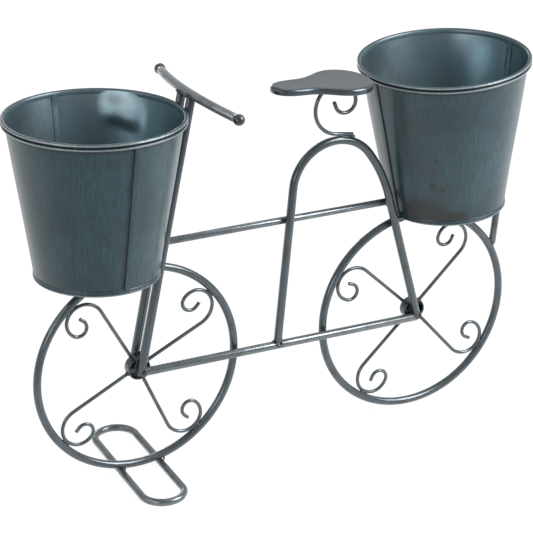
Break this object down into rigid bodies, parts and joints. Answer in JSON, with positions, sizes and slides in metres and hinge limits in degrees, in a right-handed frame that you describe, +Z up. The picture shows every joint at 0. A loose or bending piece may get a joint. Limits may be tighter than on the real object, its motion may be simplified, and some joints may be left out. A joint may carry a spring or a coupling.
{
  "type": "bicycle planter",
  "caption": "Bicycle-shaped metal planter: a welded rod and tube frame on ring wheels, with a tapered sheet-steel pot standing on each wheel.",
  "frame": {"origin": "on the surface that the planter stands on, at the middle of its box", "axes": "+X from the front wheel to the rear wheel, +Y to the bicycle's right, +Z up"},
  "size_m": [0.457, 0.1482, 0.3261],
  "materials": {
    "frame_paint": "semi-gloss blue-grey paint, brushed darker",
    "pot_paint": "semi-gloss blue-grey paint over sheet steel, with fine upright brush streaks"
  },
  "bodies": {
    "root": {"front_wheel_ring": "frame_paint", "front_hub_cup": "frame_paint", "front_spoke_1": "frame_paint", "front_spoke_2": "frame_paint", "front_spoke_3": "frame_paint", "front_spoke_4": "frame_paint", "rear_wheel_ring": "frame_paint", "rear_hub_cup": "frame_paint", "rear_spoke_1": "frame_paint", "rear_spoke_2": "frame_paint", "rear_spoke_3": "frame_paint", "rear_spoke_4": "frame_paint", "fork_leg_left": "frame_paint", "fork_leg_right": "frame_paint", "handlebar": "frame_paint", "handlebar_ball_left": "frame_paint", "handlebar_ball_right": "frame_paint", "lower_tube": "frame_paint", "top_rod": "frame_paint", "saddle_arch": "frame_paint", "saddle_scroll": "frame_paint", "saddle_plate": "frame_paint", "foot_loop": "frame_paint", "rear_pot_strut": "frame_paint", "front_pot_shell_1": "pot_paint", "front_pot_shell_2": "pot_paint", "front_pot_seam_1": "pot_paint", "front_pot_seam_2": "pot_paint", "front_pot_rim": "pot_paint", "front_pot_base": "pot_paint", "rear_pot_shell_1": "pot_paint", "rear_pot_shell_2": "pot_paint", "rear_pot_seam_1": "pot_paint", "rear_pot_seam_2": "pot_paint", "rear_pot_rim": "pot_paint", "rear_pot_base": "pot_paint"}
  },
  "joints": []
}
